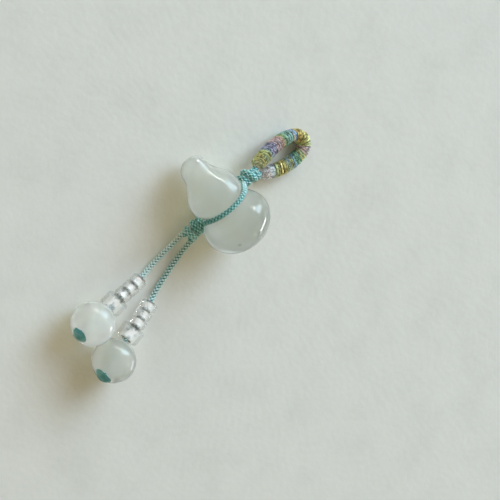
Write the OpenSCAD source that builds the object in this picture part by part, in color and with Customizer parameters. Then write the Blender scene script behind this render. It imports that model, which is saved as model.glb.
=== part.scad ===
// Carved gourd pendant, as it lies on a table: a gourd tied at its waist, a wound hanging loop and two beaded legs.
// Millimetres. The loop points along +Y, the beads along -Y and the gourd's stem along -X. The table is z = 0.

/* [Gourd] */
// Widest radius of the fat lobe
fat_r = 6.4; // [6.2:0.05:6.5]
// Length of the fat lobe from its middle to the base
fat_base = 5.35; // [5.0:0.05:5.7]
// Widest radius of the small lobe
top_r = 5.0; // [4.8:0.05:5.1]
// Distance between the middles of the lobes
lobe_gap = 5.82; // [5.7:0.02:5.9]
// Radius of the stem
stem_r = 2.55; // [2.2:0.05:2.9]
// Length from the small lobe's middle to the stem's tip
stem_len = 8.4; // [7.5:0.1:9.0]
// Angle by which the gourd's base is raised above its stem
tilt = 12.5; // [12.0:0.1:13.0]

/* [Cord] */
// Diameter of the braided cord of the legs
cord_d = 1.15; // [1.0:0.05:1.15]
// Diameter of the same cord pulled tight around the waist
tight_cord_d = 1.05; // [0.95:0.05:1.05]

/* [Knots] */
// Radius of the ring that each turn of a knot makes
turn_r = 0.75; // [0.7:0.05:0.8]
// Diameter of the cord in a knot
knot_cord_d = 1.2; // [1.0:0.05:1.2]
// Angle by which each turn of a knot leans
turn_lean = 28; // [20:1:35]

/* [Glass beads] */
// Outer diameter of a seed bead
seed_d = 3.0; // [2.8:0.1:3.0]
// Length of a seed bead along its hole
seed_len = 1.5; // [1.4:0.05:1.5]
// Diameter of a seed bead's hole
seed_bore_d = 1.4; // [1.4:0.05:1.6]
// Outer diameter of a large glass bead
glass_d = 4.3; // [4.1:0.1:4.3]
// Length of a large glass bead along its hole
glass_len = 2.7; // [2.5:0.1:2.7]
// Diameter of a large glass bead's hole
glass_bore_d = 2.0; // [1.9:0.1:2.2]

/* [Jade beads] */
// Diameter of a round jade bead
jade_d = 7.9; // [7.7:0.1:7.9]
// Diameter of a jade bead's hole
jade_bore_d = 1.8; // [1.8:0.1:2.2]
// Diameter of the melted cord end outside the hole
cap_d = 2.7; // [2.4:0.1:3.0]
// Height of the melted cord end
cap_h = 0.75; // [0.6:0.05:0.9]

/* [Hidden] */

JADE = "#c9d3c8";
TEAL = "#2f8f8a";
GLASS = "#dfe3e2";
THREAD = "#b3a06a";

// Gourd: where its middle lies, and how the lobes run into each other
gourd_at = [3.3, 7.0, fat_r + 0.03];
fat_waist = 5.3;
top_waist = 2.85;
waist_blend = 1.4;
stem_round = 2.1;
stem_taper = 3.9;
stem_bend = 0.006;
// The rings of the surface stand upright near the waist, where the cord holds them
ring_lean = 12;
ring_lean_at = -4.3;
ring_lean_width = 3.0;
waist_at = -4.215;
gourd_sides = 40;
stem_rings = 28;
base_rings = 26;

// Waist cords: the clearance to the groove, the lean of their ring and how many steps an arc takes
groove_gap = 0.05;
cord_lean = 2;
arc_rings = 22;
cord_sides = 8;

// Knots: the middle of each knot's two turns
upper_turns = [[-0.9, 13.7, 4.6], [-0.2, 15.0, 4.4]];
lower_turns = [[0.1, 1.2, 3.1], [0.3, -0.1, 2.7]];
collar_len = 1.4;
arm_collar_r = 0.75;
arm_collar_len = 2.4;

// Hanging loop: [x, y, z, radius] from the knot, around the tip and back
loop_route = [
    [-0.4, 16.5, 3.9, 1.1], [-0.6, 17.4, 3.7, 1.35], [-0.6, 19.2, 3.3, 1.43], [-0.5, 21.1, 2.8, 1.43],
    [-0.2, 23.1, 2.3, 1.43], [0.3, 24.9, 1.9, 1.43], [1.0, 26.4, 1.6, 1.43], [1.8, 27.4, 1.5, 1.43],
    [2.9, 27.9, 1.5, 1.43], [4.0, 27.5, 1.5, 1.43], [4.7, 26.5, 1.5, 1.43], [4.8, 25.3, 1.5, 1.43],
    [4.7, 23.9, 1.6, 1.43], [4.4, 22.5, 1.8, 1.43], [4.0, 21.1, 2.0, 1.43], [3.3, 19.8, 2.2, 1.4],
    [2.6, 18.6, 2.4, 1.3], [1.9, 17.4, 2.7, 1.1], [1.5, 16.8, 2.8, 0.8]
];
loop_sides = 16;
loop_steps = 3;

// Legs: from the lower knot, through the three seed beads and the glass bead, to the jade bead's far side
left_route = [
    [-0.4, -1.2, 2.4], [-0.2, -2.0, 2.0], [0.1, -3.0, 1.5], [0.3, -4.1, 1.1], [0.4, -5.3, 0.8], [0.5, -6.5, 0.6],
    [0.6, -7.9, 0.6], [0.6, -9.3, 0.7], [0.6, -10.6, 1.0], [0.6, -11.9, 1.45], [0.5, -13.65, 1.65],
    [0.3, -15.4, 1.85], [0.1, -17.2, 2.1], [0.1, -20.3, 2.3], [0.3, -21.2, 2.25], [-1.8, -27.6, 5.9]
];
right_route = [
    [1.8, -0.8, 2.4], [2.0, -1.5, 2.0], [2.3, -2.6, 1.5], [2.7, -3.6, 1.1], [3.2, -5.0, 0.7], [3.5, -6.4, 0.6],
    [3.9, -7.7, 0.6], [4.2, -9.1, 0.6], [4.5, -10.6, 0.8], [4.8, -12.0, 1.1], [5.2, -13.2, 1.45],
    [5.6, -14.9, 1.65], [6.0, -16.6, 1.85], [6.3, -18.3, 2.1], [6.6, -21.3, 2.3], [7.3, -22.3, 2.2],
    [7.1, -29.1, 5.9]
];
bead_gap = 0.1;
seed_round = 0.45;
glass_round = 0.6;
// The mouth of a jade bead's hole is worn wider
mouth_d = 2.8;
mouth_depth = 0.5;
curve_fn = 48;

function unit(v) = v / norm(v);
function last(list) = len(list) - 1;
function place(p) = [p[0], p[1], p[2]];

// Direction of a route at point i, midway between the stretches before and after it
function heading(route, i) =
    let (before = i > 0 ? unit(place(route[i]) - place(route[i - 1])) : [0, 0, 0])
    let (after = i < last(route) ? unit(place(route[i + 1]) - place(route[i])) : [0, 0, 0])
    unit(before + after);

// A ring of points around a place, square to the direction along
function ring(centre, along, upward, radius, sides) =
    let (across = unit(cross(upward, along)))
    let (up = cross(along, across))
    [for (k = [0:sides - 1]) centre + radius * (cos(360 * k / sides) * across + sin(360 * k / sides) * up)];

// A closed surface through rings that have the same number of points
module skin(rings) {
    sides = len(rings[0]);
    walls = [
        for (i = [0:len(rings) - 2], k = [0:sides - 1])
            let (a = i * sides + k)
            let (b = i * sides + (k + 1) % sides)
            each [[a, a + sides, b], [b, a + sides, b + sides]]
    ];
    first_end = [for (k = [0:sides - 1]) k];
    far_end = [for (k = [sides - 1:-1:0]) (len(rings) - 1) * sides + k];
    polyhedron(points = [for (r = rings) each r], faces = concat(walls, [first_end, far_end]));
}

// A round tube along points [x, y, z, radius]
module tube(route, sides, upward) {
    skin([for (i = [0:last(route)]) ring(place(route[i]), heading(route, i), upward, route[i][3], sides)]);
}

function with_radius(route, radius) = [for (p = route) [p[0], p[1], p[2], radius]];

// Points of a smooth curve through a route, with a number of steps for each stretch
function curve_point(a, b, c, d, t) =
    0.5 * (2 * b + t * (c - a) + t * t * (2 * a - 5 * b + 4 * c - d) + t * t * t * (3 * b - 3 * c + d - a));
function smooth(route, steps) = [
    for (i = [0:last(route) - 1], s = [0:steps - 1])
        curve_point(
            route[max(i - 1, 0)], route[i], route[i + 1], route[min(i + 2, last(route))], s / steps),
    route[last(route)]
];

// Direction in which a route would go on past one of its two ends
function outward(route, i) = unit(place(route[i]) - place(route[i == 0 ? 1 : i - 1]));
loop_points = smooth(loop_route, loop_steps);

// Gourd: distances along the axis are from the fat lobe's middle, positive toward the base
function lobe(d, radius, toward_stem, toward_base) =
    let (x = abs(d) / (d < 0 ? toward_stem : toward_base))
    x < 1 ? radius * sqrt(1 - x * x) : 2 * radius * (1 - x);
function blend(a, b, width) = max(a, b) + pow(max(width - abs(a - b), 0), 2) / (4 * width);
function stem_radius(x) =
    let (u = max(x - (stem_len - stem_round), 0) / stem_round)
    (stem_r + (top_r - stem_r) * exp(-pow(x / stem_taper, 3))) * sqrt(max(1 - u * u, 0));
function gourd_radius(g) = g < -lobe_gap
    ? stem_radius(-lobe_gap - g)
    : blend(lobe(g, fat_r, fat_waist, fat_base), lobe(g + lobe_gap, top_r, top_waist, top_waist), waist_blend);
function gourd_axis(g) = gourd_at + g * [cos(tilt), 0, sin(tilt)] + [0, stem_bend * pow(max(-g - lobe_gap, 0), 2), 0];
function gourd_ring(g) =
    let (lean = tilt - ring_lean * exp(-pow((g - ring_lean_at) / ring_lean_width, 2)))
    [for (k = [0:gourd_sides - 1])
        let (turn = 360 * k / gourd_sides)
        gourd_axis(g) + gourd_radius(g) * (cos(turn) * [0, 1, 0] + sin(turn) * [-sin(lean), 0, cos(lean)])];

// Steps from one value to another, close together near both ends, without the values in skip
function spread(from, to, first, end, steps) =
    [for (i = [first:end]) from + (to - from) * (1 - cos(180 * i / steps)) / 2];

module gourd() {
    color(JADE)
        skin([
            for (g = concat(
                spread(-lobe_gap - stem_len, waist_at, 1, stem_rings, stem_rings),
                spread(waist_at, fat_base, 1, base_rings - 1, base_rings)))
                gourd_ring(g)
        ]);
}

// Waist cords: each runs straight from a knot to the groove, around it and straight to the other knot
waist_centre = gourd_axis(waist_at);
waist_ring_r = gourd_radius(waist_at) + groove_gap + tight_cord_d / 2;
function around_waist(turn) =
    waist_centre + waist_ring_r * [-sin(cord_lean) * sin(turn), cos(turn), cos(cord_lean) * sin(turn)];
function turn_of(p) = atan2(p.z - waist_centre.z, p.y - waist_centre.y);
function reach_of(p) = norm([p.y - waist_centre.y, p.z - waist_centre.z]);
function tangent_turn(p) = acos(waist_ring_r / reach_of(p));
upper_turn = turn_of(upper_turns[0]);
lower_turn = turn_of(lower_turns[0]);

// The strand that goes over the front has side 1, the strand under the back has side -1
function waist_route(side) =
    let (from = upper_turn + side * tangent_turn(upper_turns[0]))
    let (to = lower_turn + (side > 0 ? 360 : 0) - side * tangent_turn(lower_turns[0]))
    let (arc = [for (i = [0:arc_rings]) around_waist(from + (to - from) * i / arc_rings)])
    concat(
        [outside_turn(upper_turns[0], arc[0])],
        arc,
        [outside_turn(lower_turns[0], arc[arc_rings])]);

// The point where a cord that heads for the middle of a knot's turn meets the knot
function outside_turn(middle, from) = middle + (turn_r + knot_cord_d / 2 + 0.3) * unit(from - middle);

module waist_cord(side) {
    color(TEAL) tube(with_radius(waist_route(side), tight_cord_d / 2), cord_sides, [1, 0, 0]);
}

// Turns an object so that its Z points along a direction
module aim(direction) {
    way = unit(direction);
    rotate([0, acos(way.z), atan2(way.y, way.x)])
        children();
}

// A short round collar from a point of a route back into a knot
module collar(at, inward, radius, length) {
    translate(at)
        aim(inward)
            cylinder(h = length, r = radius, $fn = curve_fn);
}

// One turn of a knot: a ring of cord that leans to one side
module knot_turn(middle, way, lean) {
    translate(middle)
        aim(way)
            rotate([lean, 0, 0]) {
                rotate_extrude($fn = curve_fn)
                    translate([turn_r, 0])
                        circle(d = knot_cord_d, $fn = 32);
                cylinder(h = knot_cord_d * 0.6, r = turn_r, center = true, $fn = curve_fn);
            }
}

module knot_body(turns) {
    way = turns[1] - turns[0];
    knot_turn(turns[0], way, turn_lean);
    knot_turn(turns[1], way, -turn_lean);
}

module upper_knot() {
    color(TEAL) {
        knot_body(upper_turns);
        for (route = [waist_route(1), waist_route(-1)])
            collar(route[0], outward(route, 0), tight_cord_d / 2, collar_len);
        for (arm = [0, last(loop_points)])
            collar(place(loop_points[arm]), outward(loop_points, arm), arm_collar_r, arm_collar_len);
    }
}

module lower_knot() {
    color(TEAL) {
        knot_body(lower_turns);
        for (route = [waist_route(1), waist_route(-1)])
            collar(route[last(route)], outward(route, last(route)), tight_cord_d / 2, collar_len);
        for (route = [left_route, right_route])
            collar(route[0], outward(route, 0), cord_d / 2, collar_len);
    }
}

module hanging_loop() {
    color(THREAD) tube(loop_points, loop_sides, [0.3, -0.1, 1]);
}

module leg_cord(route) {
    color(TEAL) tube(with_radius(route, cord_d / 2), cord_sides, [0, 0, 1]);
}

// Places an object at the middle of a route's stretch i, with its hole along the stretch
module on_stretch(route, i) {
    translate((route[i] + route[i + 1]) / 2)
        aim(route[i + 1] - route[i])
            children();
}

// A drilled cylinder of glass with round edges
module round_edged_bead(outer_d, length, bore_d, round) {
    color(GLASS)
        difference() {
            rotate_extrude($fn = curve_fn) {
                translate([0, -length / 2])
                    square([outer_d / 2 - round, length]);
                translate([0, round - length / 2])
                    square([outer_d / 2, length - 2 * round]);
                for (side = [-1, 1])
                    translate([outer_d / 2 - round, side * (length / 2 - round)])
                        circle(r = round, $fn = 32);
            }
            cylinder(h = length + 1, d = bore_d, center = true, $fn = curve_fn);
        }
}

module seed_bead(route, i) {
    on_stretch(route, i)
        round_edged_bead(seed_d, seed_len, seed_bore_d, seed_round);
}

module glass_bead(route) {
    on_stretch(route, last(route) - 3)
        round_edged_bead(glass_d, glass_len, glass_bore_d, glass_round);
}

// Places an object at a leg's far end, with Z out of the jade bead and 0 at the bead's outer side
module at_far_end(route) {
    translate(route[last(route)])
        aim(route[last(route)] - route[last(route) - 1])
            children();
}

module jade_bead(route) {
    color(JADE)
        at_far_end(route)
            translate([0, 0, -bead_gap - jade_d / 2])
                difference() {
                    sphere(d = jade_d, $fn = 96);
                    cylinder(h = jade_d + 1, d = jade_bore_d, center = true, $fn = curve_fn);
                    translate([0, 0, -jade_d / 2])
                        cylinder(h = mouth_depth, d1 = mouth_d, d2 = jade_bore_d, $fn = curve_fn);
                }
}

module end_cap(route) {
    color(TEAL)
        at_far_end(route)
            rotate_extrude($fn = curve_fn)
                intersection() {
                    scale([cap_d / 2, cap_h])
                        circle(r = 1, $fn = 64);
                    square([cap_d, cap_h * 2]);
                }
}

gourd();
waist_cord(1);  // waist_cord_front
waist_cord(-1);  // waist_cord_back
upper_knot();
lower_knot();
hanging_loop();
leg_cord(left_route);  // leg_cord_left
leg_cord(right_route);  // leg_cord_right
for (i = [1:3]) {
    seed_bead(left_route, last(left_route) - 7 + i);
    seed_bead(right_route, last(right_route) - 7 + i);
}
glass_bead(left_route);  // glass_bead_left
glass_bead(right_route);  // glass_bead_right
jade_bead(left_route);  // jade_bead_left
jade_bead(right_route);  // jade_bead_right
end_cap(left_route);  // end_cap_left
end_cap(right_route);  // end_cap_right
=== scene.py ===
# %% [markdown]
# # A jade gourd pendant
# A small carved gourd hangs on teal cord. The cord is tied around the gourd's waist, a loop wound with
# metallic thread hangs it up, and two braided legs carry glass and jade beads. Here it lies on a table. The
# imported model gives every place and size: each piece below stands for one of its nodes and stays inside that
# node's box.

import math
import random

import bmesh
import bpy
from mathutils import Matrix, Vector, noise


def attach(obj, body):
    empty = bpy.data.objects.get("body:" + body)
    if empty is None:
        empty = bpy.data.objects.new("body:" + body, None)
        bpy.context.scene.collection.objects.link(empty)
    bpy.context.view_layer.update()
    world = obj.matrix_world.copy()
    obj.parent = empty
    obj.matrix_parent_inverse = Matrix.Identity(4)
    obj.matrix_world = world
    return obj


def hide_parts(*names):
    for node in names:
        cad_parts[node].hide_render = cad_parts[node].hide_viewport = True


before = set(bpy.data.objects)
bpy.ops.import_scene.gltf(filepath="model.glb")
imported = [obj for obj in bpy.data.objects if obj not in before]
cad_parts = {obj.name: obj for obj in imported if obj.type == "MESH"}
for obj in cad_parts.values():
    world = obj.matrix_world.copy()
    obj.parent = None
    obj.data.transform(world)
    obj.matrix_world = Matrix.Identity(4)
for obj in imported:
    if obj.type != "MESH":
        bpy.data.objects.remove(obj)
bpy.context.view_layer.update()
MM = 0.001
print("nodes:", len(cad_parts))

# %% [markdown]
# ## The camera
# The photograph looks down at the table, about 30 degrees off the vertical, from far away with a long lens,
# so the pendant lies across the picture without much perspective. A camera's local Z points backward, so its
# turn is made of three directions: right, up and back.

# %% Place the camera
LENS_MM = 128
CAMERA_DISTANCE = 320 * MM
CAMERA_TARGET = Vector((10.4, 6.43, 4.0)) * MM


def direction(azimuth, elevation):
    """Unit vector toward an azimuth and an elevation in degrees."""
    turn, rise = math.radians(azimuth), math.radians(elevation)
    return Vector((math.cos(rise) * math.cos(turn), math.cos(rise) * math.sin(turn), math.sin(rise)))


def look_at(thing, target, back, upward, distance):
    """Places a camera or light at a distance behind its target, turned toward it."""
    up = (upward - upward.dot(back) * back).normalized()
    turn = Matrix((up.cross(back), up, back)).transposed().to_4x4()
    thing.matrix_world = Matrix.Translation(target + distance * back) @ turn


def new_object(name, data):
    """An object that is linked to the scene."""
    made = bpy.data.objects.new(name, data)
    bpy.context.scene.collection.objects.link(made)
    return made


camera = new_object("camera", bpy.data.cameras.new("camera"))
camera.data.lens = LENS_MM
camera.data.sensor_width = 36
camera.data.clip_start = 0.02
toward_camera, picture_up = direction(211.5, 60), direction(141.5, 0)
look_at(camera, CAMERA_TARGET, toward_camera, picture_up, CAMERA_DISTANCE)
bpy.context.scene.camera = camera
print("camera at", [round(c / MM) for c in camera.location], "mm")

# %% [markdown]
# ## Shader nodes
# A material is a small tree of nodes. One helper adds a node and fills its sockets, so each material below
# reads as a list of what feeds what.

# %% Helpers for materials


def feed(tree, node, values):
    """Fills a node's sockets. A value that is a socket is linked, and any other value is set."""
    for name, value in values.items():
        if isinstance(value, bpy.types.NodeSocket):
            tree.links.new(value, node.inputs[name])
        else:
            node.inputs[name].default_value = value


def add(tree, kind, values=None, **settings):
    """Adds a node to a tree, with its settings and the values of its sockets."""
    made = tree.nodes.new("ShaderNode" + kind)
    for name, value in settings.items():
        setattr(made, name, value)
    feed(tree, made, values or {})
    return made


def new_material(name):
    """An empty material, its node tree and the Principled shader that feeds its surface."""
    material = bpy.data.materials.new(name)
    material.use_nodes = True
    tree = material.node_tree
    tree.nodes.clear()
    shader = add(tree, "BsdfPrincipled")
    add(tree, "OutputMaterial", {"Surface": shader.outputs["BSDF"]})
    return material, tree, shader


def ramp(tree, factor, stops):
    """A colour ramp through stops of (place, colour)."""
    made = add(tree, "ValToRGB", {"Fac": factor})
    while len(made.color_ramp.elements) < len(stops):
        made.color_ramp.elements.new(0.5)
    for element, (place, colour) in zip(made.color_ramp.elements, sorted(stops)):
        element.position = place
        element.color = (*colour, 1)
    return made.outputs["Color"]


def linear(red, green, blue):
    """A linear colour from display values between 0 and 255."""
    return tuple(
        ((c / 255 + 0.055) / 1.055) ** 2.4 if c > 10 else c / 255 / 12.92
        for c in (red, green, blue))


# %% [markdown]
# ## Fibres
# Nylon cord and metallic thread are both bundles of fine filaments that run along each strand. One node group
# makes those lines from the strand's own UV map: across the strand they are fine, and along it they change
# slowly.

# %% Build the fibre group
fibre_group = bpy.data.node_groups.new("fibres", "ShaderNodeTree")
for socket, way in (("Count", "INPUT"), ("Run", "INPUT"), ("Fibre", "OUTPUT")):
    fibre_group.interface.new_socket(socket, in_out=way, socket_type="NodeSocketFloat")
entry = fibre_group.nodes.new("NodeGroupInput")
exit_node = fibre_group.nodes.new("NodeGroupOutput")
strand_uv = add(fibre_group, "UVMap", uv_map="UVMap")
uv_parts = add(fibre_group, "SeparateXYZ", {"Vector": strand_uv.outputs["UV"]})
across = add(fibre_group, "Math", {0: uv_parts.outputs["X"], 1: entry.outputs["Count"]}, operation="MULTIPLY")
along = add(fibre_group, "Math", {0: uv_parts.outputs["Y"], 1: entry.outputs["Run"]}, operation="MULTIPLY")
stretched = add(fibre_group, "CombineXYZ", {"X": across.outputs[0], "Y": along.outputs[0]})
lines_noise = add(fibre_group, "TexNoise", {"Vector": stretched.outputs[0], "Scale": 1.0, "Detail": 2.0})
fibre_group.links.new(lines_noise.outputs["Fac"], exit_node.inputs["Fibre"])


def fibres(tree, count, run):
    """Places the fibre group in a material."""
    return add(tree, "Group", {"Count": count, "Run": run}, node_tree=fibre_group).outputs["Fibre"]


# %% [markdown]
# ## Teal nylon cord
# The cord is braided from glossy filament yarn. Each strand has a slightly different tone. The pale dots of
# light on the braid are painted highlights in the strands' tone, with painted shade where they dive, and the
# filaments add a fine grain along each strand's run. A braid could be painted on a smooth tube, but up close
# the strands have to shade one another, so they are real threads here.

# %% Mix the cord's material
CORD_COLOURS = [
    (0.0, linear(14, 72, 76)), (0.4, linear(62, 154, 159)),
    (0.75, linear(172, 232, 237)), (1.0, linear(236, 253, 255)),
]


def mix_cord(name, colours, gloss):
    """A filament yarn whose strands take their colour from the tone attribute, which holds their own tone and
    the painted light and shade of the braid.
    """
    material, tree, shader = new_material(name)
    fibre = fibres(tree, 9.0, 40.0)
    tone = add(tree, "Attribute", attribute_name="tone", attribute_type="GEOMETRY")
    shade = add(tree, "Math", {0: fibre, 1: 0.5, 2: -0.25}, operation="MULTIPLY_ADD")
    mixed = add(tree, "Math", {0: tone.outputs["Fac"], 1: shade.outputs[0]}, operation="ADD")
    rough = add(tree, "MapRange", {"Value": fibre, "To Min": gloss, "To Max": gloss + 0.25})
    bump = add(tree, "Bump", {"Height": fibre, "Strength": 0.5, "Distance": 0.00003})
    feed(tree, shader, {
        "Base Color": ramp(tree, mixed.outputs[0], colours),
        "Roughness": rough.outputs[0],
        "Normal": bump.outputs[0],
        "Subsurface Weight": 0.15,
        "Subsurface Scale": 0.0002,
        "Sheen Weight": 0.25,
        "Sheen Roughness": 0.35,
        "Sheen Tint": (0.75, 1.0, 0.98, 1),
    })
    return material


teal_yarn = mix_cord("teal_yarn", CORD_COLOURS, 0.22)
print("mixed", teal_yarn.name)

# %% [markdown]
# ## Routes
# A route is a list of places in millimetres. The model's cords are straight between those places. Real cord
# bends smoothly, so the route is first divided into even steps and each place is then moved toward the middle
# of its neighbours, a few times over, with both ends held.

# %% Repeat the routes of the two legs
LEFT_ROUTE = [
    (-0.4, -1.2, 2.4), (-0.2, -2.0, 2.0), (0.1, -3.0, 1.5), (0.3, -4.1, 1.1), (0.4, -5.3, 0.8),
    (0.5, -6.5, 0.6), (0.6, -7.9, 0.6), (0.6, -9.3, 0.7), (0.6, -10.6, 1.0), (0.6, -11.9, 1.45),
    (0.5, -13.65, 1.65), (0.3, -15.4, 1.85), (0.1, -17.2, 2.1), (0.1, -20.3, 2.3), (0.3, -21.2, 2.25),
    (-1.8, -27.6, 5.9),
]
RIGHT_ROUTE = [
    (1.8, -0.8, 2.4), (2.0, -1.5, 2.0), (2.3, -2.6, 1.5), (2.7, -3.6, 1.1), (3.2, -5.0, 0.7),
    (3.5, -6.4, 0.6), (3.9, -7.7, 0.6), (4.2, -9.1, 0.6), (4.5, -10.6, 0.8), (4.8, -12.0, 1.1),
    (5.2, -13.2, 1.45), (5.6, -14.9, 1.65), (6.0, -16.6, 1.85), (6.3, -18.3, 2.1), (6.6, -21.3, 2.3),
    (7.3, -22.3, 2.2), (7.1, -29.1, 5.9),
]


def evenly(places, step):
    """Places at even steps along a line, from its first place to its last."""
    places = [Vector(p) for p in places]
    gaps = [(b - a).length for a, b in zip(places, places[1:])]
    count = max(2, round(sum(gaps) / step))
    result, i, passed = [], 0, 0.0
    for k in range(count + 1):
        wanted = sum(gaps) * k / count
        while i < len(gaps) - 1 and passed + gaps[i] < wanted:
            passed += gaps[i]
            i += 1
        result.append(places[i].lerp(places[i + 1], min(1, (wanted - passed) / gaps[i])))
    return result


def rounded(places, step, passes):
    """An even line through places, with its corners rounded by a number of smoothing passes."""
    line = evenly(places, step)
    for _ in range(passes):
        inner = [(a + 2 * b + c) / 4 for a, b, c in zip(line, line[1:], line[2:])]
        line = [line[0], *inner, line[-1]]
    return evenly(line, step)


def length_of(line):
    """The length of a line through its places."""
    return sum((b - a).length for a, b in zip(line, line[1:]))


for side, route in (("left", LEFT_ROUTE), ("right", RIGHT_ROUTE)):
    print(side, "leg's route is", round(length_of(evenly(route, 0.5)), 2), "mm long")

# %% [markdown]
# ## Braiding
# Six strands make this round braid: three turn one way around the cord and three the other way. A strand dips
# and rises at every second crossing, so where one is over the other is under. Its colour is painted palest
# where it bulges out and dark where it dives, as light and shade, with a painted highlight on top of each
# bulge, which gives the rows of dots. The pulled-tight cord of the knots gets ten finer strands. To turn
# strands around a bent cord, a frame of two sideways directions is carried along it without spinning.

# %% Helpers for braided cord
BRAID_LAY = 2.0
BRAID = (BRAID_LAY, 3)
# Shares of the cord's radius, to be divided by the number of strands each way
STRAND_INSET, STRAND_WAVE = 1.26, 0.42
STRAND_R, CORE_INSET = 0.84, 1.14
# How light or dark a strand is, from 0 to 1
STRAND_TONES = (0.40, 0.50)
# Painted light and shade on each strand: lighter where it bulges out, darker where it dives, and a painted
# highlight at the top of each bulge
BULGE_SHADE_SLOPE, PAINTED_HIGHLIGHT_PEAK = 0.16, 0.42
# The core is painted dark, as the shade in the gaps between the strands, and darker still where the dots are
# strong
SHADED_CORE_TONE, CORE_PAINTED_SHADE = 0.3, 0.12


def carried_frames(line):
    """For each place on a line: the place and two directions across it that don't spin along the way."""
    side = (line[1] - line[0]).orthogonal().normalized()
    frames = []
    for i, place in enumerate(line):
        ahead = (line[min(i + 1, len(line) - 1)] - line[max(i - 1, 0)]).normalized()
        side = (side - side.dot(ahead) * ahead).normalized()
        frames.append((place, side, ahead.cross(side)))
    return frames


def braid_lines(line, radius, lay, each_way):
    """The strands of a cord: each is its line and how far out it bulges, -1 to 1, at each of its places."""
    strands = []
    for way in (1, -1):
        for k in range(each_way):
            strand, bulges, distance = [], [], 0.0
            before = line[0]
            for place, side, up in carried_frames(line):
                distance += (place - before).length
                before = place
                turn = way * 2 * math.pi * distance / lay + 2 * math.pi * k / each_way
                bulge = way * math.cos(each_way * turn)
                reach = radius * (1 + (STRAND_WAVE * bulge - STRAND_INSET) / each_way)
                strand.append(place + reach * (math.cos(turn) * side + math.sin(turn) * up))
                bulges.append(bulge)
            strands.append((strand, bulges))
    return strands


THREAD_SIDES = 6  # which a bevel resolution of 1 makes


def thread_mesh(lines, radii, tones):
    """A mesh of round threads. A line has one radius and one tone, or one of them for each of its places."""
    curve = bpy.data.curves.new("threads", "CURVE")
    curve.dimensions = "3D"
    curve.bevel_depth = 1
    curve.bevel_resolution = 1
    curve.use_fill_caps = True
    for line, radius in zip(lines, radii):
        spline = curve.splines.new("POLY")
        spline.points.add(len(line) - 1)
        spline.points.foreach_set("co", [c for p in line for c in (p.x * MM, p.y * MM, p.z * MM, 1)])
        sizes = radius if hasattr(radius, "__len__") else [radius] * len(line)
        spline.points.foreach_set("radius", [size * MM for size in sizes])
    mesh = bpy.data.meshes.new_from_object(bpy.data.objects.new("threads", curve))
    spread = [tone if hasattr(tone, "__len__") else [tone] * len(line) for line, tone in zip(lines, tones)]
    # Blender lists the end caps first, from the last line's to the first line's, and then each line's rings
    at_ends = [tone[end] for tone in reversed(spread) for end in (-1, 0)]
    on_lines = [value for tone in spread for value in tone]
    values = [value for value in at_ends + on_lines for _ in range(THREAD_SIDES)]
    mesh.attributes.new("tone", "FLOAT", "POINT").data.foreach_set("value", values)
    bm = bmesh.new()
    bm.from_mesh(mesh)
    bmesh.ops.remove_doubles(bm, verts=bm.verts, dist=1e-8)
    return bm


def piece(name, bm, materials, node):
    """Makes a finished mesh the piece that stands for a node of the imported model."""
    bmesh.ops.recalc_face_normals(bm, faces=bm.faces)
    mesh = bpy.data.meshes.new(name)
    bm.to_mesh(mesh)
    bm.free()
    mesh.shade_smooth()
    for material in materials:
        mesh.materials.append(material)
    made = new_object(name, mesh)
    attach(made, "root")
    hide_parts(node)
    print(name, "stands for", node, "with", len(mesh.polygons), "faces")
    return made


def braided(cords, radius, braid, seed):
    """The mesh of braided cords.

    A cord is its line, how pale it is and how strong its dots are, both at its two ends: the paleness is
    painted light and shade, and the dots are painted highlights and shade. The braid is its lay and the number
    of strands each way. A core closes the gaps between the strands, painted dark as the shade in them.
    """
    rng = random.Random(seed)
    lines, radii, tones = [], [], []
    for line, pale, dots in cords:
        shares = [i / (len(line) - 1) for i in range(len(line))]
        pales = [pale[0] + (pale[1] - pale[0]) * share for share in shares]
        strengths = [dots[0] + (dots[1] - dots[0]) * share for share in shares]
        for strand, bulges in braid_lines(line, radius, *braid):
            base = rng.uniform(*STRAND_TONES)
            lines.append(strand)
            radii.append(STRAND_R / braid[1] * radius)
            # Painted light and shade: paler where the strand bulges out, darker where it dives, with a painted
            # highlight on each top
            tones.append([base + p + d * (BULGE_SHADE_SLOPE * bulge + PAINTED_HIGHLIGHT_PEAK * max(bulge, 0) ** 4)
                          for p, d, bulge in zip(pales, strengths, bulges)])
        # The core is painted dark, as the shade in the gaps between the strands
        lines.append(line)
        radii.append((1 - CORE_INSET / braid[1]) * radius)
        tones.append([SHADED_CORE_TONE + p - CORE_PAINTED_SHADE * d for p, d in zip(pales, strengths)])
    return thread_mesh(lines, radii, tones)


# %% [markdown]
# ## The two legs
# Each leg is one length of limp cord. It leaves the lower knot, sinks to the table, rises into the beads and
# ends under the melted cap at the far side of its jade bead. Nothing of it is hidden in the photograph but
# the part in the beads, so its length is what the photograph shows.

# %% Braid the legs
CORD_R = 0.575
BRAID_STEP = 0.1
BEAD_GAP = 0.1
INTO_KNOT = 1.2
LEG_PASSES = 40


def toward(a, b, distance):
    """The place at a distance from a, on the straight line to b and on past it."""
    a, b = Vector(a), Vector(b)
    return a + distance * (b - a).normalized()


def leg_line(route):
    """A leg's smooth line. It starts inside the knot and ends just under its cap."""
    start = toward(route[0], route[1], -INTO_KNOT)
    end = toward(route[-1], route[-2], BEAD_GAP)
    return rounded([start, *route, end], BRAID_STEP, LEG_PASSES)


def leg(name, route, node, seed, pale, dots):
    """Braids a leg. Its line is kept for later."""
    line = leg_line(route)
    print(name, "is", round(length_of(line), 1), "mm long")
    bm = braided([(line, pale, dots)], CORD_R, BRAID, seed)
    return line, piece(name, bm, [teal_yarn], node)


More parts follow.
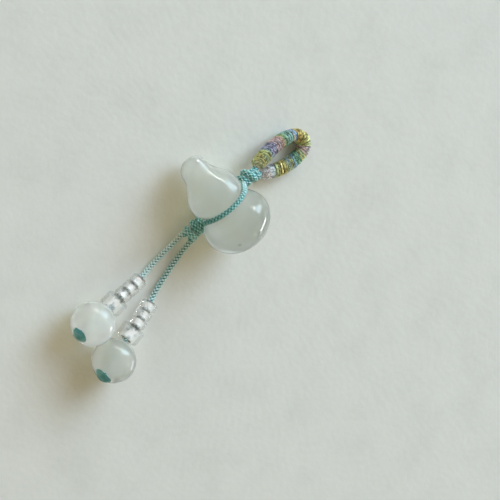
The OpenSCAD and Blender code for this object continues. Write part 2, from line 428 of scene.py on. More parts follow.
# The left leg is painted paler than the right, with stronger painted highlights, as the light on it; its
# paleness fades toward its end
legs = {
    "left": leg("left_leg_braid", LEFT_ROUTE, "leg_cord_left", 11, (0.16, 0.08), (3.6, 3.2)),
    "right": leg("right_leg_braid", RIGHT_ROUTE, "leg_cord_right", 12, (-0.02, -0.02), (2.8, 2.8)),
}
strung = {"left": [], "right": []}

# %% [markdown]
# ## The gourd's shape
# The gourd is turned first, as a carver would rough it out: a profile of two lobes and a stem spins around
# one axis. Then each ring is set in its place on the tilted axis. Near the waist the rings stand nearly
# upright, because the cord that is tied there holds the groove upright, and the stem bends a little to one
# side.

# %% Write the gourd's profile and axis
# A lobe's radius and its lengths from its middle, and the distance between the two middles
FAT_R, FAT_BASE, FAT_WAIST = 6.4, 5.35, 5.3
TOP_R, TOP_WAIST, LOBE_GAP = 5.0, 2.85, 5.82
STEM_R, STEM_LENGTH, STEM_ROUND, STEM_TAPER, STEM_BEND = 2.55, 8.4, 2.1, 3.9, 0.006
WAIST_BLEND, WAIST_AT = 1.4, -4.215
# By how much the rings are turned upright, where they are turned most, and how far around it this reaches
UPRIGHT, UPRIGHT_AT, UPRIGHT_RUN = math.radians(12), -4.3, 3.0
GOURD_AT = Vector((3.3, 7.0, 6.43))
TILT = math.radians(12.5)


def lobe(d, radius, toward_stem, toward_base):
    """Radius of one lobe at a distance from its middle. Past its end it goes on below zero."""
    x = abs(d) / (toward_stem if d < 0 else toward_base)
    return radius * math.sqrt(1 - x * x) if x < 1 else 2 * radius * (1 - x)


def gourd_radius(g):
    """Radius of the gourd at a distance along its axis, positive toward the base."""
    x = -LOBE_GAP - g
    if x > 0:
        u = max(x - (STEM_LENGTH - STEM_ROUND), 0) / STEM_ROUND
        stem = STEM_R + (TOP_R - STEM_R) * math.exp(-((x / STEM_TAPER) ** 3))
        return stem * math.sqrt(max(1 - u * u, 0))
    a = lobe(g, FAT_R, FAT_WAIST, FAT_BASE)
    b = lobe(g + LOBE_GAP, TOP_R, TOP_WAIST, TOP_WAIST)
    return max(a, b) + max(WAIST_BLEND - abs(a - b), 0) ** 2 / (4 * WAIST_BLEND)


def gourd_place(g, y, z):
    """Where a point of the upright turned gourd, at g along the axis, comes to lie."""
    lean = TILT - UPRIGHT * math.exp(-(((g - UPRIGHT_AT) / UPRIGHT_RUN) ** 2))
    axis = GOURD_AT + g * Vector((math.cos(TILT), 0, math.sin(TILT)))
    bend = Vector((0, STEM_BEND * max(-g - LOBE_GAP, 0) ** 2, 0))
    return axis + bend + y * Vector((0, 1, 0)) + z * Vector((-math.sin(lean), 0, math.cos(lean)))


print("gourd: radius at the waist", round(gourd_radius(WAIST_AT), 2), "mm")

# %% [markdown]
# ## Jade
# Pale jade lets light in and scatters it over a few millimetres, so its shaded side glows. Under a high
# polish it is cloudy: soft whitish veils drift through a faint green, and a rare dark speck sits in it. Here
# the light passes a very rough surface, which blurs it as the stone does. Large soft noise gives the veils,
# and a clear coat gives the sharp reflections. The colour is deeper toward the gourd's base and a little
# toward its stem, partly as the stone's own colour and partly as painted shade, which darkens the side
# toward the window so that it looks no brighter than the rest.
#
# Rays that come from a matt surface, such as the paper beside it, meet a darker and warmer jade. This paints
# the deep, yellowish shadow that real jade casts onto the paper. The light path node tells such rays from
# those of the camera.

# %% Mix the jade
TOWARD_BASE = (0.85, 0.52, 0.0)
NOWHERE = (1.0, 1.0, 1.0)
DEEP_JADE = (0.50, 0.52, 0.47, 1)
SPECK_COLOUR = (0.16, 0.17, 0.12, 1)
SHADOW_JADE = (0.38, 0.30, 0.13, 1)
SPECK_SIZE = 0.5 * MM


def mix_jade(name, pale, green, clear, deep_from, deep_to, speck_at):
    """Polished jade. Clear is the share of light it lets through. Distances and places are in metres.

    The colour deepens from one distance toward the base to another, and half as fast the other way. A small
    dark speck sits at speck_at.
    """
    material, tree, shader = new_material(name)
    place = add(tree, "TexCoord").outputs["Object"]
    veil = add(tree, "TexNoise", {"Vector": place, "Scale": 160.0, "Detail": 4.0, "Distortion": 0.8})
    grain = add(tree, "TexNoise", {"Vector": place, "Scale": 1400.0, "Detail": 2.0})
    colour = ramp(tree, veil.outputs["Fac"], [(0.3, green), (0.55, pale), (0.75, pale)])
    # Partly painted shade: the colour deepens toward the side that faces the window
    run = add(tree, "VectorMath", {0: place, 1: TOWARD_BASE}, operation="DOT_PRODUCT").outputs["Value"]
    one_way = add(tree, "MapRange", {"Value": run, "From Min": deep_from, "From Max": deep_to}, clamp=False)
    other_way = add(tree, "Math", {0: one_way.outputs[0], 1: -0.5}, operation="MULTIPLY")
    depth = add(tree, "Math", {0: one_way.outputs[0], 1: other_way.outputs[0]}, operation="MAXIMUM")
    deep = add(tree, "Mix", {0: depth.outputs[0], 6: colour, 7: DEEP_JADE}, data_type="RGBA")
    offset = add(tree, "VectorMath", {0: place, 1: speck_at}, operation="DISTANCE").outputs["Value"]
    speck = add(tree, "MapRange", {"Value": offset, "From Max": SPECK_SIZE, "To Min": 0.85, "To Max": 0.0})
    dark = add(tree, "Mix", {0: speck.outputs[0], 6: deep.outputs[2], 7: SPECK_COLOUR}, data_type="RGBA")
    # Painted shadow: rays from matt surfaces see the darker, warmer SHADOW_JADE colour
    from_matt = add(tree, "LightPath").outputs["Is Diffuse Ray"]
    passed = add(tree, "Mix", {0: from_matt, 6: dark.outputs[2], 7: SHADOW_JADE}, data_type="RGBA")
    rough = add(tree, "MapRange", {"Value": grain.outputs["Fac"], "To Min": 0.75, "To Max": 0.95})
    bump = add(tree, "Bump", {"Height": veil.outputs["Fac"], "Strength": 0.05, "Distance": 0.0002})
    feed(tree, shader, {
        "Base Color": passed.outputs[2],
        "Roughness": rough.outputs[0],
        "Normal": bump.outputs[0],
        "IOR": 1.5,
        "Specular IOR Level": 0.2,
        "Transmission Weight": clear,
        "Subsurface Weight": 1.0,
        "Subsurface Radius": (1.0, 1.0, 0.9),
        "Subsurface Scale": 0.006,
        "Coat Weight": 1.0,
        "Coat Roughness": 0.03,
        "Coat IOR": 1.65,
    })
    return material


gourd_jade = mix_jade(
    "gourd_jade", (0.93, 0.935, 0.92), (0.89, 0.895, 0.87), 0.95, 0.001, 0.011, (0.0048, 0.0033, 0.0112))
left_jade = mix_jade(
    "left_bead_jade", (0.99, 0.995, 1.0), (0.98, 0.985, 1.0), 0.97, 0.0, 1.0, NOWHERE)
right_jade = mix_jade(
    "right_bead_jade", (0.93, 0.935, 0.92), (0.90, 0.91, 0.89), 0.95, -0.0095, 0.003, NOWHERE)
print("mixed", gourd_jade.name, left_jade.name, "and", right_jade.name)

# %% [markdown]
# ## Turning the gourd
# The gourd could be lofted ring by ring, but a spin is how a turner thinks of it: one chain of edges goes
# once around the axis, and the doubles at its ends are merged, so that both poles are closed. The rings lie
# closer together at the stem's end, in the waist and at the base, where the shape bends most. A low noise
# then moves the skin by some hundredths of a millimetre, because a stone polished by hand is never quite
# round.

# %% Turn and carve the gourd
GOURD_RINGS = 150
GOURD_SIDES = 128


def chain(bm, places):
    """Vertices through places, with an edge between each and the next."""
    verts = [bm.verts.new(p) for p in places]
    for a, b in zip(verts, verts[1:]):
        bm.edges.new((a, b))


def spun(profile, axis, sides):
    """A closed mesh from a profile that spins once around an axis through the origin."""
    bm = bmesh.new()
    chain(bm, profile)
    bmesh.ops.spin(
        bm, geom=bm.verts[:] + bm.edges[:], cent=(0, 0, 0), axis=axis,
        angle=2 * math.pi, steps=sides, use_merge=True, use_duplicate=False)
    bmesh.ops.remove_doubles(bm, verts=bm.verts, dist=1e-5)
    return bm


def eased(start, end, steps):
    """Numbers from start to end that lie closer together toward both."""
    return [start + (end - start) * (1 - math.cos(math.pi * i / steps)) / 2 for i in range(steps + 1)]


to_waist = eased(-LOBE_GAP - STEM_LENGTH, WAIST_AT, GOURD_RINGS // 2)
to_base = eased(WAIST_AT, FAT_BASE, GOURD_RINGS // 2)[1:]
gourd_mesh = spun([(g, gourd_radius(g), 0) for g in to_waist + to_base], (1, 0, 0), GOURD_SIDES)
for vert in gourd_mesh.verts:
    place = gourd_place(*vert.co)
    swell = 0.05 * noise.noise(place * 0.28) + 0.02 * noise.noise(place * 0.8 + Vector((7, 0, 0)))
    outward = (place - gourd_place(vert.co.x, 0, 0)).normalized()
    vert.co = (place + swell * outward) * MM
piece("carved_gourd", gourd_mesh, [gourd_jade], "gourd")

# %% [markdown]
# ## The cord around the waist
# Two strands hold the gourd, one over its front and one under its back. Each leaves a knot in a straight
# line, meets the groove where the line touches it, follows the groove's ring and leaves it for the other
# knot.

# %% Braid the waist cords
TIGHT_R = 0.525
GROOVE_GAP = 0.05
CORD_LEAN = math.radians(2)
DIPS = Vector((0.22, 0.27, -1.38)), Vector((0.95, 1.0, -0.75))
IN_KNOT = 1.45
UPPER_KNOT = Vector((-0.9, 13.7, 4.6))
LOWER_KNOT = Vector((0.1, 1.2, 3.1))
waist_centre = gourd_place(WAIST_AT, 0, 0)
waist_r = gourd_radius(WAIST_AT) + GROOVE_GAP + TIGHT_R


def around_waist(turn):
    """A place on the ring of cord in the groove."""
    lift = math.sin(turn)
    offset = Vector((-math.sin(CORD_LEAN) * lift, math.cos(turn), math.cos(CORD_LEAN) * lift))
    return waist_centre + waist_r * offset


def turn_of(place):
    """How far around the waist a place lies."""
    return math.atan2(place.z - waist_centre.z, place.y - waist_centre.y) % (2 * math.pi)


def touch_turn(place):
    """How far around the ring a straight line from a place touches it."""
    reach = Vector((place.y - waist_centre.y, place.z - waist_centre.z)).length
    return math.acos(waist_r / reach)


def waist_line(side):
    """A strand's line from the upper to the lower knot. Side is 1 over the front and -1 under the back."""
    full_turn = 2 * math.pi
    start = turn_of(UPPER_KNOT) - full_turn * (turn_of(UPPER_KNOT) > math.pi) + side * touch_turn(UPPER_KNOT)
    end = turn_of(LOWER_KNOT) - full_turn * (side < 0) - side * touch_turn(LOWER_KNOT)
    arc = [around_waist(start + (end - start) * i / 60) for i in range(61)]
    ends = [toward(knot, near, IN_KNOT) for knot, near in ((UPPER_KNOT, arc[0]), (LOWER_KNOT, arc[-1]))]
    if side == 1:
        ends = [end + dip for end, dip in zip(ends, DIPS)]
    return rounded([ends[0], *arc, ends[1]], BRAID_STEP, 6)


front_waist = waist_line(1)
back_waist = waist_line(-1)
# Painted light: the front strand is paler at its upper end and darker at its lower end, where its painted
# highlights also fade, and the back strand is a little darker all along
front_mesh = braided([(front_waist, (0.04, -0.07), (1.4, 0.3))], TIGHT_R, BRAID, 21)
back_mesh = braided([(back_waist, (-0.03, -0.03), (1.0, 1.0))], TIGHT_R, BRAID, 22)
piece("front_waist_braid", front_mesh, [teal_yarn], "waist_cord_front")
piece("back_waist_braid", back_mesh, [teal_yarn], "waist_cord_back")

# %% [markdown]
# ## The knots
# Each knot is a double knot: the two cords pass through it side by side, and tight turns of the same cord lie
# around them. A turn is drawn here as a ring of cord, given by its middle, its radius and how far it is swung
# around the vertical from the way the knot runs. Two turns side by side make a fat round lump, and one alone
# a narrow band.

# %% Tie the knots
RING_STEPS = 72
KNOT_CORD_R = 0.64
KNOT_BRAID = (3.4, 5)


def smooth_line(places, steps):
    """A smooth line through places, with a number of steps between each and the next."""
    places = [Vector(p) for p in places]
    line = []
    for i in range(len(places) - 1):
        a, b, c, d = (places[min(max(i + k, 0), len(places) - 1)] for k in (-1, 0, 1, 2))
        for t in (s / steps for s in range(steps)):
            line.append(0.5 * (2 * b + t * (c - a) + t * t * (2 * a - 5 * b + 4 * c - d)
                               + t ** 3 * (3 * b - 3 * c + d - a)))
    return line + [places[-1]]


def ring_of_cord(middle, way, radius, swing):
    """A closed turn of cord around a middle. Its ends meet underneath."""
    axis = Matrix.Rotation(math.radians(swing), 3, "Z") @ way
    aim = axis.to_track_quat("Z", "Y").to_matrix()
    turns = [math.pi * (2 * k / RING_STEPS - 0.5) for k in range(RING_STEPS + 1)]
    return [Vector(middle) + radius * (aim @ Vector((math.cos(t), math.sin(t), 0))) for t in turns]


def knot(name, node, rings, ins, outs, seed):
    """A knot of rings, each a middle, a radius, a swing and a paleness, and of the two cords through them. The
    paleness is painted light and shade.
    """
    way = (Vector(rings[-1][0]) - Vector(rings[0][0])).normalized()
    cords = [(ring_of_cord(middle, way, radius, swing), (pale, pale), (0.8, 0.8))
             for middle, radius, swing, pale in rings]
    for start, end in zip(ins, outs):
        through = [start, *(Vector(ring[0]).lerp(start, 0.2).lerp(end, 0.2) for ring in rings), end]
        # The cords through the knot are painted a little darker at their start, as shade
        cords.append((evenly(smooth_line(through, 8), BRAID_STEP), (-0.1, 0.0), (0.6, 0.8)))
    piece(name, braided(cords, KNOT_CORD_R, KNOT_BRAID, seed), [teal_yarn], node)


# The last number of each ring is its painted light: how much paler its colour is made, as light falling on
# that turn
UPPER_RINGS = [
    ((-0.66, 13.07, 4.8), 0.85, 33, 0.15),
    ((-0.67, 14.3, 4.9), 1.1, 33, 0.12),
    ((0.05, 15.45, 4.45), 0.72, 33, 0.1),
]
LOWER_RINGS = [
    ((0.25, 2.1, 3.6), 1.0, -15, 0.05),
    ((0.03, 1.0, 3.4), 1.0, -15, 0.03),
    ((0.3, -0.1, 3.0), 1.05, 9, 0.23),
]
LOOP_STARTS = [Vector((-0.4, 16.5, 3.9)), Vector((1.5, 16.8, 2.8))]
knot("upper_knot_cords", "upper_knot", UPPER_RINGS, [front_waist[0], back_waist[0]], LOOP_STARTS, 31)
knot("lower_knot_cords", "lower_knot", LOWER_RINGS, [front_waist[-1], back_waist[-1]],
     [Vector(LEFT_ROUTE[0]), Vector(RIGHT_ROUTE[0])], 32)

# %% [markdown]
# ## The hanging loop
# The loop is the same cord bent back on itself and wound closely with variegated metallic thread. The thread
# makes about eighty turns, coarse and uneven at first, and fine and even near the end. Its colour changes
# along the loop, and each turn sits a little off from the one before it, so the loop's edge looks serrated.
# The cord inside is drawn as a plain rod just under the thread.

# %% Write the loop's route
LOOP_ROUTE = [
    (-0.4, 16.5, 3.9, 1.1), (-0.6, 17.4, 3.7, 1.35), (-0.6, 19.2, 3.3, 1.43), (-0.5, 21.1, 2.8, 1.43),
    (-0.2, 23.1, 2.3, 1.43), (0.3, 24.9, 1.9, 1.43), (1.0, 26.4, 1.6, 1.43), (1.8, 27.4, 1.5, 1.43),
    (2.9, 27.9, 1.5, 1.43), (4.0, 27.5, 1.5, 1.43), (4.7, 26.5, 1.5, 1.43), (4.8, 25.3, 1.5, 1.43),
    (4.7, 23.9, 1.6, 1.43), (4.4, 22.5, 1.8, 1.43), (4.0, 21.1, 2.0, 1.43), (3.3, 19.8, 2.2, 1.4),
    (2.6, 18.6, 2.4, 1.3), (1.9, 17.4, 2.7, 1.1), (1.5, 16.8, 2.8, 0.8),
]
loop_line = evenly(smooth_line([p[:3] for p in LOOP_ROUTE], 8), 0.05)
loop_length = length_of(loop_line)


def loop_radius(distance):
    """The loop's radius at a distance along it, from its route's nearest places, rounded at its ends."""
    place = loop_line[round(distance / loop_length * (len(loop_line) - 1))]
    near = sorted(LOOP_ROUTE, key=lambda p: (Vector(p[:3]) - place).length)[:2]
    a, b = ((Vector(p[:3]) - place).length for p in near)
    rounding = min(1.0, 0.55 + 0.5 * distance, 0.6 + 0.5 * (loop_length - distance))
    return rounding * (near[0][3] * b + near[1][3] * a) / (a + b)


print("the wound loop is", round(loop_length, 1), "mm long")

# %% [markdown]
# ## Metallic thread
# Lame thread is a flat foil wrapped around a core. It is partly metallic, and its dye is painted brighter
# in random turns and small flakes, as glints of light on the foil. The piece keeps the distance along the loop
# in an attribute, and a colour ramp turns that into the order of the dyes. On the rod under the thread the
# attribute is below zero, which paints the rod darker, as shade in the gaps between the turns.

# %% Mix the metallic thread
DYES = {
    "gold": (208, 178, 72), "olive": (168, 174, 88), "green": (98, 168, 132), "sky": (140, 182, 205),
    "blue": (90, 132, 190), "violet": (126, 116, 172), "mauve": (176, 160, 178), "rose": (200, 150, 155),
    "pearl": (216, 205, 214),
}
DYE_ORDER = [
    (0.0, "rose"), (0.7, "olive"), (1.6, "gold"), (2.7, "olive"), (3.4, "sky"), (4.3, "violet"),
    (5.4, "mauve"), (6.4, "rose"), (7.3, "olive"), (8.3, "green"), (9.2, "sky"), (10.1, "blue"),
    (11.0, "gold"), (11.9, "gold"), (12.8, "olive"), (13.6, "olive"), (14.3, "mauve"), (15.1, "rose"),
    (15.8, "gold"), (16.6, "green"), (17.5, "green"), (18.2, "blue"), (18.8, "blue"), (19.4, "olive"),
    (20.6, "gold"), (21.7, "olive"), (22.5, "sky"), (23.2, "pearl"), (26.0, "pearl"),
]
GREYED = (0.46, 0.54, 0.50, 1)


def mix_lame(name):
    """Metallic thread whose dye follows the distance along the loop. Its glints are painted into the dye, and
    the rod under it is painted darker as shade.
    """
    material, tree, shader = new_material(name)
    fibre = fibres(tree, 5.0, 900.0)
    along_loop = add(tree, "Attribute", attribute_name="tone", attribute_type="GEOMETRY").outputs["Fac"]
    stops = [(along / DYE_ORDER[-1][0], linear(*DYES[dye])) for along, dye in DYE_ORDER]
    distance = add(tree, "Math", {0: along_loop}, operation="ABSOLUTE")
    dyes = ramp(tree, distance.outputs[0], stops)
    dye = add(tree, "Mix", {0: 0.3, 6: dyes, 7: GREYED}, data_type="RGBA")
    place = add(tree, "TexCoord").outputs["Object"]
    # Painted glints: the dye is made brighter on random turns and in small flakes
    turns = add(tree, "TexNoise", {"W": along_loop, "Scale": 150.0, "Detail": 0.0}, noise_dimensions="1D")
    glint_flake_noise = add(tree, "TexNoise", {"Vector": place, "Scale": 2600.0, "Detail": 1.0})
    painted_glint = add(tree, "Math", {0: turns.outputs["Fac"], 1: glint_flake_noise.outputs["Fac"]}, operation="ADD")
    # Painted shade: where the attribute is below zero, on the rod between the turns, the dye is darkened
    wound = add(tree, "MapRange", {"Value": along_loop, "From Min": -0.001, "From Max": 0.001, "To Min": 0.3})
    painted_glint_gain = add(tree, "MapRange", {"Value": painted_glint.outputs[0], "From Min": 0.75, "From Max": 1.25,
                                   "To Min": 0.6, "To Max": 2.1})
    value = add(tree, "Math", {0: painted_glint_gain.outputs[0], 1: wound.outputs[0]}, operation="MULTIPLY")
    hsv = add(tree, "HueSaturation", {"Color": dye.outputs[2], "Value": value.outputs[0]})
    rough = add(tree, "MapRange", {"Value": fibre, "To Min": 0.12, "To Max": 0.4})
    bump = add(tree, "Bump", {"Height": fibre, "Strength": 0.6, "Distance": 0.00004})
    metal = add(tree, "MapRange", {"Value": fibre, "From Min": 0.35, "From Max": 0.6,
                                   "To Min": 0.3, "To Max": 0.9})
    feed(tree, shader, {
        "Base Color": hsv.outputs[0],
        "Metallic": metal.outputs[0],
        "Roughness": rough.outputs[0],
        "Normal": bump.outputs[0],
    })
    return material


lame = mix_lame("metallic_thread")

# %% [markdown]
# ## Winding
# The winding could be a screw thread cut into the rod, but real thread shows each turn as a round line of its
# own, with gaps and crossings. So a line is led around the loop, a little unevenly from turn to turn, and the
# bevel of a curve makes it round. The thread has only a few sides, because there are many turns.

# %% Wind the loop
WINDING_PITCH, WINDING_R, WINDING_SLANT = 0.36, 0.145, 0.45
SMOOTH_FROM, SMOOTH_PITCH, SMOOTH_R = 22.9, 0.17, 0.09
POINTS_A_TURN = 28
loop_frames = carried_frames(loop_line)


def winding(start, end, pitch, thread_r, slant, uneven, seed):
    """A thread wound around the loop between two distances: its line, and the dye at each of its places."""
    rng = random.Random(seed)
    turns = int((end - start) / pitch)
    shifts = [rng.uniform(-0.25, 0.25) * pitch for _ in range(turns + 2)]
    dips = [rng.uniform(-uneven, 0) for _ in range(turns + 2)]
    dyes = [rng.gauss(0, 0.45) for _ in range(turns + 2)]
    line, dye = [], []
    for k in range(turns * POINTS_A_TURN + 1):
        whole, part = divmod(k / POINTS_A_TURN, 1)
        now, after = int(whole), int(whole) + 1
        angle = 2 * math.pi * part
        shift, dip, hue = (a[now] * (1 - part) + a[after] * part for a in (shifts, dips, dyes))
        middle = start + (whole + part) * pitch + shift
        distance = min(max(middle + slant * math.cos(angle + 0.9), 0.0), loop_length)
        place, side, up = loop_frames[round(distance / loop_length * (len(loop_line) - 1))]
        reach = loop_radius(distance) - thread_r + dip
        line.append(place + reach * (math.cos(angle) * side + math.sin(angle) * up))
        dyed_at = (middle + hue + 0.4 * noise.noise((middle, angle, seed))) / loop_length
        dye.append(min(max(dyed_at, 0.001), 1))
    return line, dye


coarse, coarse_dye = winding(0.1, SMOOTH_FROM, WINDING_PITCH, WINDING_R, WINDING_SLANT, 0.1, 5)
fine, fine_dye = winding(SMOOTH_FROM, loop_length - 0.05, SMOOTH_PITCH, SMOOTH_R, 0.1, 0.02, 6)
core_line = loop_line[1:-1:4]
core_at = [i / (len(core_line) - 1) for i in range(len(core_line))]
core_radii = [loop_radius(at * loop_length) - 0.2 for at in core_at]
# The rod's painted shade is left off at both ends, where the rod shows openly
core_dye_and_shade = [max(at, 0.002) if min(at, 1 - at) < 0.05 else -at for at in core_at]
loop_bm = thread_mesh(
    [coarse, fine, core_line], [WINDING_R, SMOOTH_R, core_radii], [coarse_dye, fine_dye, core_dye_and_shade])
piece("wound_loop", loop_bm, [lame], "hanging_loop")

# %% [markdown]
# ## Round jade beads
# A bead is a sphere with a drilled hole. Its profile is the half circle from one mouth of the hole to the
# other, closed by the straight wall of the hole, so that one spin gives the whole bead.

# %% Turn the jade beads
JADE_R, HOLE_R = 3.95, 0.85
CAP_H = 0.6


def aimed(bm, place, way):
    """Moves a mesh that was made along Z, in millimetres, to a place, with Z along a direction."""
    turn = Vector(way).to_track_quat("Z", "Y").to_matrix().to_4x4()
    bmesh.ops.transform(bm, matrix=Matrix.Scale(MM, 4) @ Matrix.Translation(place) @ turn, verts=bm.verts)
    return bm


def jade_profile():
    """The bead's half outline in the XZ plane, closed along the hole, whose edges are softened a little."""
    start = math.asin((HOLE_R + 0.12) / JADE_R)
    arc = [(JADE_R * math.sin(a), 0, JADE_R * math.cos(a)) for a in eased(start, math.pi - start, 48)]
    mouth = JADE_R * math.cos(start)
    hole = [(HOLE_R, 0, -mouth + 0.14), (HOLE_R, 0, 0), (HOLE_R, 0, mouth - 0.14)]
    corner = (HOLE_R + 0.04, 0, mouth - 0.04)
    return [corner, *arc, (corner[0], 0, -corner[2]), *hole, corner]


def jade_bead(name, node, route, material):
    """Turns a jade bead and sets it on the last stretch of its leg's route."""
    way = Vector(route[-1]) - Vector(route[-2])
    centre = toward(route[-1], route[-2], BEAD_GAP + JADE_R)
    return piece(name, aimed(spun(jade_profile(), (0, 0, 1), 96), centre, way), [material], node)


strung["left"].append(jade_bead("left_jade_bead", "jade_bead_left", LEFT_ROUTE, left_jade))
strung["right"].append(jade_bead("right_jade_bead", "jade_bead_right", RIGHT_ROUTE, right_jade))

# %% [markdown]
# ## Melted cord ends
# The cord's end is melted with a flame and pressed flat while soft. It sets as a glossy button with a few
# dents, darker than the cord because the filaments have run together. The button is spun like a bead,
# stretched to an oval, dented with noise and laid on the curve of its bead, so that no gap shows under it.

# %% Mix the melted nylon and press the caps
MELTED_COLOURS = [(0.35, linear(82, 156, 160)), (0.7, linear(138, 202, 204))]


def mix_melted(name):
    """Nylon that has run together, with a soft sheen and small dents."""
    material, tree, shader = new_material(name)
    place = add(tree, "TexCoord").outputs["Object"]
    cloud = add(tree, "TexNoise", {"Vector": place, "Scale": 500.0, "Detail": 2.0})
    bump = add(tree, "Bump", {"Height": cloud.outputs["Fac"], "Strength": 0.25, "Distance": 0.0001})
    rough = add(tree, "MapRange", {"Value": cloud.outputs["Fac"], "To Min": 0.15, "To Max": 0.4})
    feed(tree, shader, {
        "Base Color": ramp(tree, cloud.outputs["Fac"], MELTED_COLOURS),
        "Roughness": rough.outputs[0],
        "Normal": bump.outputs[0],
        "Subsurface Weight": 0.2,
        "Subsurface Scale": 0.0003,
    })
    return material


melted = mix_melted("melted_nylon")


def cap_place(r, height):
    """A place of the button's half outline: how far it is from the middle, and how high over the bead."""
    over_bead = math.sqrt((JADE_R + 0.03) ** 2 - r * r) - JADE_R - BEAD_GAP
    return (r, 0, over_bead + height)


def end_cap(name, node, route, long_r, short_r, slant, seed):
    """A melted end, longer than wide. It sits a little low on its bead, where the soft cord was pressed."""
    top = [cap_place(k / 16, CAP_H * (1 - (k / 16) ** 2.6)) for k in range(17)]
    bm = spun([*top, cap_place(0.6, 0), cap_place(0, 0)], (0, 0, 1), 48)
    for vert in bm.verts:
        stretch = 1 + 0.06 * noise.noise(vert.co.normalized() * 1.5 + Vector((0, seed, 0)))
        x, y = vert.co.x * long_r * stretch, vert.co.y * short_r * stretch
        height = vert.co.z - cap_place(vert.co.xy.length, 0)[2]
        dent = 0.05 * noise.noise(vert.co * 1.4 + Vector((seed, 0, 0)))
        vert.co = (x, y, cap_place(math.hypot(x, y), 0)[2] + height + dent)
    way = (Vector(route[-1]) - Vector(route[-2])).normalized()
    centre = toward(route[-1], route[-2], BEAD_GAP + JADE_R)
    long_way = Matrix.Rotation(math.radians(slant), 3, way) @ way.cross(Vector((0, 0, 1))).normalized()
    low_way = Matrix.Rotation(CAP_DROP, 3, long_way) @ way
    turn = Matrix((long_way, low_way.cross(long_way), low_way)).transposed().to_4x4()
    place = centre + (BEAD_GAP + JADE_R) * low_way
    bmesh.ops.transform(bm, matrix=Matrix.Scale(MM, 4) @ Matrix.Translation(place) @ turn, verts=bm.verts)
    return piece(name, bm, [melted], node)


CAP_DROP = math.radians(-5.5)
strung["left"].append(end_cap("left_melted_end", "end_cap_left", LEFT_ROUTE, 1.5, 1.2, 27, 3.0))
strung["right"].append(end_cap("right_melted_end", "end_cap_right", RIGHT_ROUTE, 1.7, 1.2, 10, 8.0))

# %% [markdown]
# ## Glass beads
# A seed bead is a short piece of glass tube whose edges have been softened in a fire. Its hole is lined with
# silver, so the bead throws back light from its middle. The two bigger beads are the same thing at a larger
# size. The wall of the hole gets the silver, the rims of its mouths a much darker one, which paints the shade
# at the bead's ends, and the rest of the surface the glass. A low alpha lets part of the light straight past
# the glass, so that the lining stays bright behind it.

# %% Mix the glass and the silver


def mix_glass(name):
    """Clear glass with faint waves. Its alpha lets most of the light straight past."""
    material, tree, shader = new_material(name)
    place = add(tree, "TexCoord").outputs["Object"]
    waves = add(tree, "TexNoise", {"Vector": place, "Scale": 500.0, "Detail": 1.0})
    bump = add(tree, "Bump", {"Height": waves.outputs["Fac"], "Strength": 0.2, "Distance": 0.0001})
    tint = ramp(tree, waves.outputs["Fac"], [(0.3, (0.97, 0.99, 0.97)), (0.7, (1.0, 1.0, 0.99))])
    feed(tree, shader, {
        "Base Color": tint,
        "Roughness": 0.02,
        "Normal": bump.outputs[0],
        "IOR": 1.4,
        "Transmission Weight": 1.0,
        "Alpha": 0.35,
    })
    return material


def mix_silver(name, dark, bright):
    """A silver lining whose colour goes in small patches from dark to bright."""
    material, tree, shader = new_material(name)
    place = add(tree, "TexCoord").outputs["Object"]
    patches = add(tree, "TexNoise", {"Vector": place, "Scale": 1100.0, "Detail": 2.0})
    rough = add(tree, "MapRange", {"Value": patches.outputs["Fac"], "To Min": 0.2, "To Max": 0.45})
    bump = add(tree, "Bump", {"Height": patches.outputs["Fac"], "Strength": 0.6, "Distance": 0.0002})
    feed(tree, shader, {
        "Base Color": ramp(tree, patches.outputs["Fac"], [(0.36, dark), (0.48, bright)]),
        "Metallic": 0.25,
        "Roughness": rough.outputs[0],
        "Normal": bump.outputs[0],
        "Coat Weight": 1.0,
        "Coat Roughness": 0.05,
    })
    return material


clear_glass = mix_glass("clear_glass")
silver = mix_silver("silver_lining", (0.34, 0.41, 0.43), (1.0, 1.0, 1.0))
# Painted shade: the rims of the hole's mouths get this dark silver, which stands in for the shade at the
# bead's ends
shaded_rim_silver = mix_silver("shaded_rim_silver", (0.16, 0.16, 0.15), (0.42, 0.41, 0.38))

# %% [markdown]
# ## Turning the glass beads
# A bead could be a cylinder with a bevel and a cut. Here one closed outline with four rounded corners spins
# once around the hole, which gives clean rings of faces. A face's distance from the axis then says whether it
# belongs to the hole, the rim or the outside, and so which material it gets.

# %% Turn the glass beads


def glass_profile(outer_r, length, hole_r, edge):
    """Half outline of a bead with softened edges, closed along its hole."""
    corners = []
    for x, z, start in ((outer_r - edge, length / 2 - edge, 0), (hole_r + edge, length / 2 - edge, 1),
                        (hole_r + edge, edge - length / 2, 2), (outer_r - edge, edge - length / 2, 3)):
        corners += [(x + edge * math.cos(a), 0, z + edge * math.sin(a))
                    for a in (math.pi / 2 * (start + k / 6) for k in range(7))]
    return corners + corners[:1]


def glass_bead(name, node, route, stretch, size):
    """Turns a glass bead and sets it in the middle of one stretch of its leg's route."""
    hole_r, edge = size[2:]
    a, b = Vector(route[stretch]), Vector(route[stretch + 1])
    bm = spun(glass_profile(*size), (0, 0, 1), 48)
    for face in bm.faces:
        centre = face.calc_center_median()
        wide = centre.xy.length
        face.material_index = 1 if wide < hole_r + 0.02 else 2 if wide < hole_r + 0.5 * edge else 0
    return piece(name, aimed(bm, (a + b) / 2, b - a), [clear_glass, silver, shaded_rim_silver], node)


SEED_SIZE = (1.5, 1.62, 0.60, 0.36)
GLASS_SIZE = (2.15, 2.75, 0.85, 0.5)
for side, route in (("left", LEFT_ROUTE), ("right", RIGHT_ROUTE)):
    for i in (1, 2, 3):
        seed = glass_bead(f"{side}_seed_{i}", f"seed_bead_{side}_{i}", route, len(route) - 8 + i, SEED_SIZE)
        strung[side].append(seed)
    large = glass_bead(f"{side}_large_glass", f"glass_bead_{side}", route, len(route) - 4, GLASS_SIZE)
    strung[side].append(large)

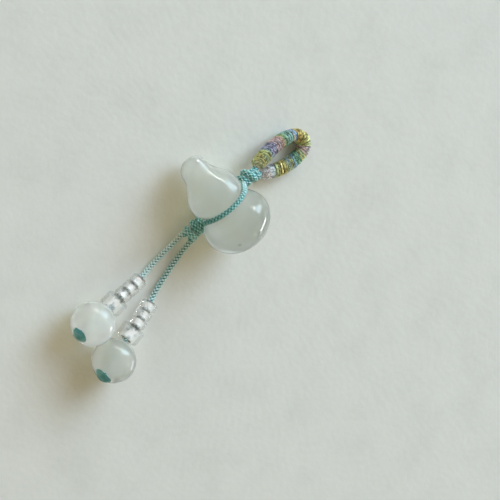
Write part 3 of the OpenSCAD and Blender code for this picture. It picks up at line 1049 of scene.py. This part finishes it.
# %% [markdown]
# ## Two free cords
# The legs are limp. A leg's length is what the photograph shows between the lower knot and the melted end.
# Its beads and its melted end were gathered with it, and here they are counted.

for side, (line, braid_piece) in legs.items():
    print(side, "leg carries", len(strung[side]), "pieces")

# %% [markdown]
# ## The table
# The pendant lies on thick pale paper with a faint mottle. A flat grid is enough for it: the paper's tooth is
# fine, so a bump in the material gives it.

# %% Lay the paper
PAPER_COLOURS = [(0.3, (0.765, 0.77, 0.74)), (0.5, (0.805, 0.81, 0.78)), (0.7, (0.825, 0.83, 0.80))]


def mix_paper(name):
    """Matt paper with a faint mottle and a fine tooth."""
    material, tree, shader = new_material(name)
    place = add(tree, "TexCoord").outputs["Object"]
    mottle = add(tree, "TexNoise", {"Vector": place, "Scale": 110.0, "Detail": 6.0, "Roughness": 0.65})
    tooth = add(tree, "TexNoise", {"Vector": place, "Scale": 900.0, "Detail": 3.0})
    bump = add(tree, "Bump", {"Height": tooth.outputs["Fac"], "Strength": 0.12, "Distance": 0.0003})
    feed(tree, shader, {
        "Base Color": ramp(tree, mottle.outputs["Fac"], PAPER_COLOURS),
        "Roughness": 0.85,
        "Normal": bump.outputs[0],
        "Specular IOR Level": 0.3,
    })
    return material


floor_bm = bmesh.new()
bmesh.ops.create_grid(floor_bm, x_segments=8, y_segments=8, size=1.0)
floor_mesh = bpy.data.meshes.new("table")
floor_bm.to_mesh(floor_mesh)
floor_bm.free()
floor_mesh.materials.append(mix_paper("pale_paper"))
table = new_object("table", floor_mesh)

# %% [markdown]
# ## Light
# A soft window stands low, to the upper right of the picture. A thin slanting gap of daylight near it gives
# the long narrow highlight, and a low side opening gives the small streak on the right side of each jade
# piece. The glow of the sky lights the paper but isn't seen in reflections, and the room fills the shadows
# with warm light.
#
# The last light, jade_glow, meets neither matt nor mirroring surfaces. Only what shines through is lit by it,
# so it sets how bright the jade and the glass look from inside, and leaves the paper and the cord alone.

# %% Set the light
LIGHT_DISTANCE = 2.4
ROOM_COLOUR = (0.34, 0.28, 0.175, 1)


def window(name, azimuth, elevation, wide, high, power, colour, roll=0):
    """A soft rectangle of light, given in degrees as the pendant sees it. Roll turns it around its middle.

    Power is what it would need at one metre.
    """
    lamp = bpy.data.lights.new(name, "AREA")
    lamp.shape = "RECTANGLE"
    lamp.size = 2 * LIGHT_DISTANCE * math.tan(math.radians(wide / 2))
    lamp.size_y = 2 * LIGHT_DISTANCE * math.tan(math.radians(high / 2))
    lamp.energy = power * LIGHT_DISTANCE ** 2
    lamp.color = colour
    made = new_object(name, lamp)
    back = direction(azimuth, elevation)
    upward = Matrix.Rotation(math.radians(roll), 3, back) @ Vector((0, 0, 1))
    look_at(made, Vector((0, 0, 0.004)), back, upward, LIGHT_DISTANCE)
    return made


window("window", 94, 22, 32, 28, 4.7, (0.62, 0.85, 1.0))
window("bright_gap", 129, 12, 34, 2.0, 2.3, (0.95, 0.98, 1.0), -45)
window("side_opening", 35, 4, 28, 5, 1.8, (0.95, 0.98, 1.0))
sky = window("sky_glow", 91, 38, 46, 36, 6.9, (0.67, 0.83, 0.99))
sky.visible_glossy = False
glow = window("jade_glow", 235, 50, 70, 60, 22.0, (0.70, 0.84, 1.0))
glow.visible_glossy = False
glow.visible_diffuse = False
world = bpy.data.worlds.new("room")
world.use_nodes = True
world.node_tree.nodes["Background"].inputs["Color"].default_value = ROOM_COLOUR
world.node_tree.nodes["Background"].inputs["Strength"].default_value = 1.0
bpy.context.scene.world = world
bpy.context.scene.view_settings.view_transform = "Standard"
